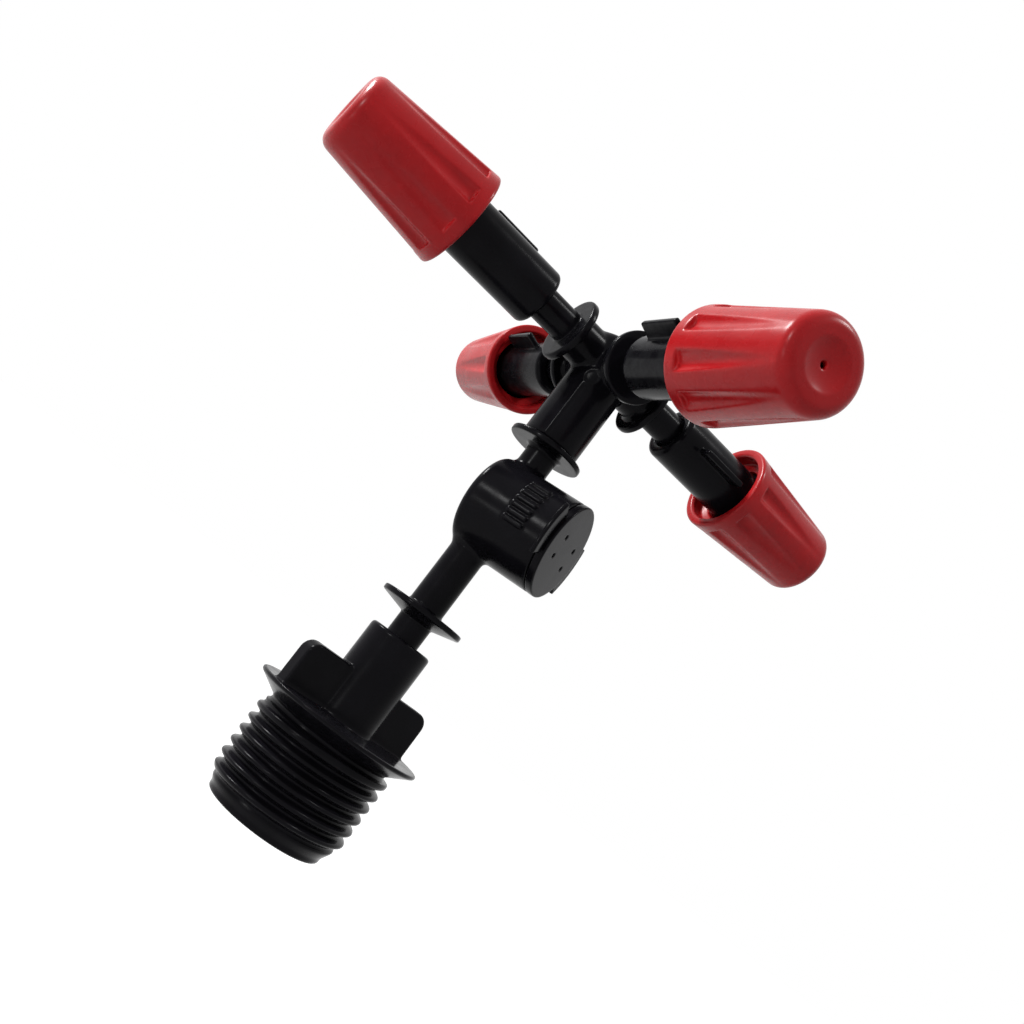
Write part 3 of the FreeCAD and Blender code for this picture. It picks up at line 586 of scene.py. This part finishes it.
margin = 0.5
piece("inlet_adapter_moulded",
      moulding(adapter_shape, (-13.1, -13.1, -margin), (13.1, 13.1, boss_top + margin), 0.18, 1),
      "inlet_adapter", "adapter", black)
piece("valve_body_moulded",
      moulding(valve_shape, (drum_back - 4, -8.2, inlet_plug_end - margin),
               (drum_front + margin, 8.2, top_plug_end + margin), 0.15, 1),
      "valve_body", "valve", black)
piece("valve_cover_moulded",
      moulding(cover_shape, (ledge_x, -ear_r - margin, drum_z - cover_r - margin),
               (cover_face + margin, ear_r + margin, drum_z + cover_r + margin), 0.12, 1),
      "valve_cover", "cover", black)
reach = (arm_plug_end + plug_r) / math.sqrt(2) + margin
piece("cross_hub_moulded",
      moulding(hub_shape, (-reach, -reach, hub_mouth - margin), (reach, reach, hub_z + arm_collar_r + margin),
               0.15, 1),
      "cross_hub", "hub", black)
nozzle = moulding(nozzle_shape, (-5.9, -5.9, tube_start - margin), (fin_r + margin, 5.9, nose_end + margin),
                  0.12, 1)
cap = moulding(cap_shape, (-8, -8, -margin), (8, 8, cap_length + margin), 0.13)
for where in PLACES:
    slid, out = -pushed_in[where], cap_out[where]
    piece("nozzle_body_moulded_" + where, nozzle, "nozzle_body_" + where, "nozzle_" + where,
          black, arm_place(where, fin_turn[where], slid))
    piece("nozzle_cap_moulded_" + where, cap, "nozzle_cap_" + where, "cap_" + where, red,
          arm_place(where, fin_turn[where] + 360 * out / lead, cap_place + out + slid))


# ==== camera ====
camera = bpy.data.objects.new("camera", bpy.data.cameras.new("camera"))
bpy.context.scene.collection.objects.link(camera)
bpy.context.scene.camera = camera
camera.data.lens = 36.534
camera.data.clip_start = 0.01
camera_place = Vector((53.675, -132.753, 28.146)) * MM
heading, pitch, roll = 21.425, 99.826, 37.103
camera.matrix_world = (Matrix.Translation(camera_place)
                       @ Matrix.Rotation(math.radians(heading), 4, "Z")
                       @ Matrix.Rotation(math.radians(pitch), 4, "X")
                       @ Matrix.Rotation(math.radians(roll), 4, "Z"))


# ==== light, backdrop and floor ====
def background_ray(nodes, links):
    """1 for a ray that should meet a white background, 0 for one that carries light."""
    rays = nodes.new("ShaderNodeLightPath")
    total = rays.outputs["Is Camera Ray"]
    for name in ("Is Glossy Ray", "Is Transmission Ray"):
        larger = nodes.new("ShaderNodeMath")
        larger.operation = "MAXIMUM"
        links.new(total, larger.inputs[0])
        links.new(rays.outputs[name], larger.inputs[1])
        total = larger.outputs[0]
    return total


world = bpy.data.worlds.new("studio")
bpy.context.scene.world = world
world.use_nodes = True
nodes, links = world.node_tree.nodes, world.node_tree.links
sky = nodes["Background"]
sky.inputs["Color"].default_value = (1, 1, 1, 1)
links.new(ranged(world, background_ray(nodes, links), 0, 1, 0.11, 1.0), sky.inputs["Strength"])


def lamp(name, place, aim, size, watts):
    light = bpy.data.lights.new(name, "AREA")
    light.shape = "RECTANGLE"
    light.size, light.size_y = size
    light.energy = watts
    holder = bpy.data.objects.new(name, light)
    bpy.context.scene.collection.objects.link(holder)
    holder.location = place
    holder.rotation_mode = "QUATERNION"
    holder.rotation_quaternion = (Vector(aim) - Vector(place)).to_track_quat("-Z", "Y")


middle = (cad_low + cad_high) / 2
camera_turn = camera.matrix_world.to_3x3()
# name: place from the middle (rightwards, upwards and towards the camera), size and watts
LAMPS = {"key": ((-0.14, 0.43, -0.12), (0.1, 0.07), 1.9),
         "streak": ((-0.12, 0.35, 0.32), (0.05, 0.05), 0.5),
         "side": ((-0.27, 0.15, 0.37), (0.05, 0.05), 0.25),
         "end": ((0.5, 0.25, 0.0), (0.1, 0.1), 1.0)}
for name, (place, size, watts) in LAMPS.items():
    lamp(name, middle + camera_turn @ Vector(place), middle, size, watts)

floor_mesh = bpy.data.meshes.new("floor")
floor_half, floor_gap = 3.0, 0.06
drop = cad_low.z - floor_gap
corners = [(a * floor_half, b * floor_half, drop) for a, b in ((-1, -1), (1, -1), (1, 1), (-1, 1))]
floor_mesh.from_pydata(corners, [], [(0, 1, 2, 3)])
floor = bpy.data.objects.new("floor", floor_mesh)
bpy.context.scene.collection.objects.link(floor)
paper = bpy.data.materials.new("white_paper")
paper.use_nodes = True
nodes, links = graph(paper)
shader = nodes["Principled BSDF"]
shader.inputs["Base Color"].default_value = (0.4, 0.4, 0.4, 1)  # low, so that little light bounces up
shader.inputs["Roughness"].default_value = 0.9
glow = nodes.new("ShaderNodeEmission")
links.new(ranged(paper, background_ray(nodes, links), 0, 1, 0, 0.93), glow.inputs["Strength"])
total = nodes.new("ShaderNodeAddShader")
links.new(shader.outputs[0], total.inputs[0])
links.new(glow.outputs[0], total.inputs[1])
links.new(total.outputs[0], nodes["Material Output"].inputs["Surface"])
floor_mesh.materials.append(paper)

bpy.context.scene.view_settings.view_transform = "Standard"
